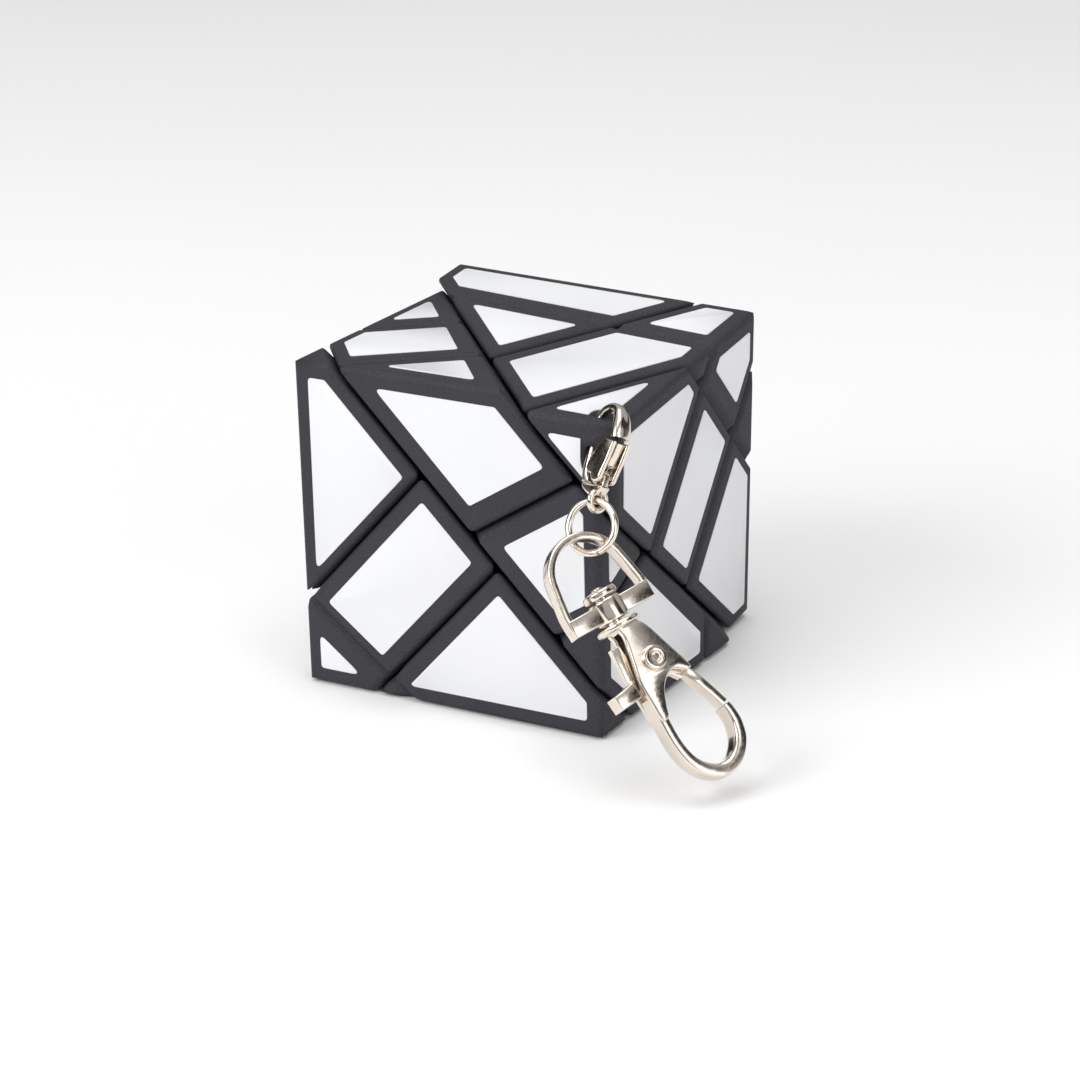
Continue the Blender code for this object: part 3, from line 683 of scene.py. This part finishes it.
def make_trigger(place, material):
    """The gate, the bar along the body's side, and the thumb tab."""
    bm = bmesh.new()
    hub = [
        (1.35, 3.9), (2.45, 3.9), (2.8, 7.9), (2.85, 9.9), (1.4, 8.8), (-0.6, 8.9), (-2.3, 9.3), (-3.0, 10.2),
        (-4.6, 10.2), (-3.0, 7.2), (-1.9, 5.8), (0.2, 5.4), (1.3, 5.0),
    ]
    plate(bm, hub[::-1], -HUB_HALF, HUB_HALF, 0.1)
    bar = [(1.4, 3.85), (2.5, 3.85), (2.86, 7.9), (1.95, 7.9)]
    plate(bm, bar[::-1], -0.5, 0.5, 0.12)
    tab = [(2.55, 8.0), (5.45, 8.45), (5.35, 10.15), (2.5, 9.95)]
    plate(bm, tab[::-1], -TAB_HALF, TAB_HALF, 0.25)
    gate = [(-3.95, 9.7, 0.6, 0.62), (-4.55, 11.2, 0.6, GATE_HALF)]
    gate += [(-5.25, 13.0, 0.58, GATE_HALF), (-5.88, 14.85, 0.55, GATE_HALF)]
    sweep(bm, smooth_line(gate, 6), power=5.0, sides=24)
    piece(bm, "snap_hook_trigger", place, material, "trigger", ["hook_trigger"])


def make_rivet(place, material):
    """A hollow rivet with a rolled rim on each side."""
    bm = bmesh.new()
    at = Matrix.Translation(RIVET_PLACE)
    lathe(bm, disc(RIVET_RADIUS, -RIVET_HALF, RIVET_HALF, 0.05, bore=RIVET_BORE), at, 32)
    for low, high in ((-RIVET_RIM_END, -RIVET_RIM_START), (RIVET_RIM_START, RIVET_RIM_END)):
        lathe(bm, disc(RIVET_RIM_RADIUS, low, high, 0.26, bore=RIVET_RIM_BORE), at)
    piece(bm, "snap_hook_rivet", place, material, "hook", ["hook_rivet"])


# --- studio -------------------------------------------------------------------------------------------------


def soft_light(name, place, target, size, power):
    data = bpy.data.lights.new(name, "AREA")
    data.shape = "RECTANGLE"
    data.size, data.size_y = size
    data.energy = power
    obj = bpy.data.objects.new(name, data)
    bpy.context.scene.collection.objects.link(obj)
    obj.location = place
    obj.rotation_euler = (target - Vector(place)).to_track_quat("-Z", "Y").to_euler()


def make_floor():
    made, tree, shader = new_material("floor_paper")
    shade = ramp(tree, noise(tree, 6.0), [(0.3, (0.95, 0.95, 0.95)), (0.7, (0.97, 0.97, 0.97))])
    tree.links.new(shade, shader.inputs["Base Color"])
    shader.inputs["Roughness"].default_value = 0.9
    shader.inputs["Specular IOR Level"].default_value = 0.1
    bm = bmesh.new()
    bmesh.ops.create_grid(bm, x_segments=1, y_segments=1, size=4.0)
    mesh = bpy.data.meshes.new("floor")
    bm.to_mesh(mesh)
    bm.free()
    floor = bpy.data.objects.new("floor", mesh)
    bpy.context.scene.collection.objects.link(floor)
    floor.location.z = -STICKER_THICK * MM
    paint(floor, made)


def make_world():
    """Pale overhead and dark near the horizon, in uneven patches, for the metal to mirror."""
    world = bpy.data.worlds.new("studio")
    bpy.context.scene.world = world
    world.use_nodes = True
    tree = world.node_tree
    where = add_node(tree, "ShaderNodeTexCoord")
    split = add_node(tree, "ShaderNodeSeparateXYZ")
    patches = add_node(tree, "ShaderNodeTexNoise", Scale=1.7, Detail=1.0)
    tree.links.new(where.outputs["Generated"], split.inputs["Vector"])
    tree.links.new(where.outputs["Generated"], patches.inputs["Vector"])
    shift = map_range(tree, patches.outputs["Fac"], 0.3, 0.7, -0.25, 0.25)
    height = add_node(tree, "ShaderNodeMath", {"operation": "ADD"})
    tree.links.new(map_range(tree, split.outputs["Z"], -1.0, 1.0, 0.0, 1.0), height.inputs[0])
    tree.links.new(shift, height.inputs[1])
    stops = [(0.40, (0.30, 0.29, 0.28)), (0.50, (0.02, 0.02, 0.02))]
    stops += [(0.62, (0.04, 0.04, 0.045)), (0.72, (0.9, 0.9, 0.9))]
    background = tree.nodes["Background"]
    tree.links.new(ramp(tree, height.outputs["Value"], stops), background.inputs["Color"])
    background.inputs["Strength"].default_value = 0.5


def make_camera(centre):
    data = bpy.data.cameras.new("camera")
    data.lens = LENS
    data.sensor_width = 36.0
    data.clip_start = 0.01
    camera = bpy.data.objects.new("camera", data)
    bpy.context.scene.collection.objects.link(camera)
    right = CAMERA_RIGHT.normalized()
    up = (CAMERA_UP - CAMERA_UP.dot(right) * right).normalized()
    turn = Matrix((right, up, right.cross(up))).transposed().to_4x4()
    camera.matrix_world = Matrix.Translation((centre + CAMERA_PLACE) * MM) @ turn
    bpy.context.scene.camera = camera


def shade_node(obj, material):
    """Joins a CAD node's split points and shades its rounded edges, and gives it a material."""
    paint(obj, material)
    obj.data.shade_smooth()
    weld = obj.modifiers.new("weld", "WELD")
    weld.merge_threshold = 1e-6
    normals = obj.modifiers.new("normals", "WEIGHTED_NORMAL")
    normals.keep_sharp = True
    normals.weight = 60


def main():
    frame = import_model()
    plastic = sintered_plastic("black_plastic", (0.037, 0.035, 0.044), (0.15, 0.145, 0.17))
    core_plastic = sintered_plastic("core_plastic", (0.04, 0.039, 0.045), (0.08, 0.08, 0.09))
    steel = nickel("spring_steel", (0.62, 0.62, 0.64), 0.28)
    bright = nickel("bright_nickel", (0.86, 0.77, 0.68), 0.10)

    for name, obj in frame["nodes"].items():
        if name.startswith(("upper_", "middle_", "lower_")):
            shade_node(obj, plastic)
        elif name == "core":
            shade_node(obj, core_plastic)
        elif name.startswith(("screw_", "spring_")):
            shade_node(obj, steel)

    centre, axis = joint_of(frame, "upper_turn")
    hole, down = joint_of(frame, "clasp_swing")
    wide = Matrix.Rotation(LAYER_TURN["upper"], 3, axis) @ Vector((1, 0, 0))
    make_stickers(frame, plane_of(hole, -down, wide.cross(-down)), sticker_vinyl())
    _, clasp_out = joint_of(frame, "clasp_lever_press")
    clasp_place = plane_of(hole, -down, clasp_out)
    make_clasp(clasp_place, bright)
    make_clasp_lever(clasp_place, bright)

    top, sideways = joint_of(frame, "jump_ring_swing")
    bottom, _ = joint_of(frame, "d_ring_swing")
    ring_up = (top - bottom).normalized()
    make_jump_ring(plane_of((top + bottom) / 2, ring_up, (-sideways).cross(ring_up)), bright)

    bar, along = joint_of(frame, "hook_swivel")
    _, press = joint_of(frame, "trigger_press")
    hook_place = plane_of(bar, along, -press)
    for make in (make_d_ring, make_hook, make_trigger, make_rivet):
        make(hook_place, bright)

    make_floor()
    make_world()
    make_camera(centre)
    aim = centre * MM
    soft_light("key", (-0.35, -0.75, 0.55), aim, (0.7, 0.5), 5.0)
    soft_light("overhead", (0.05, -0.05, 0.9), aim, (0.8, 0.8), 4.0)
    soft_light("fill", (0.8, -0.3, 0.35), aim, (0.4, 0.7), 1.6)
    bpy.context.scene.view_settings.view_transform = "Standard"


main()
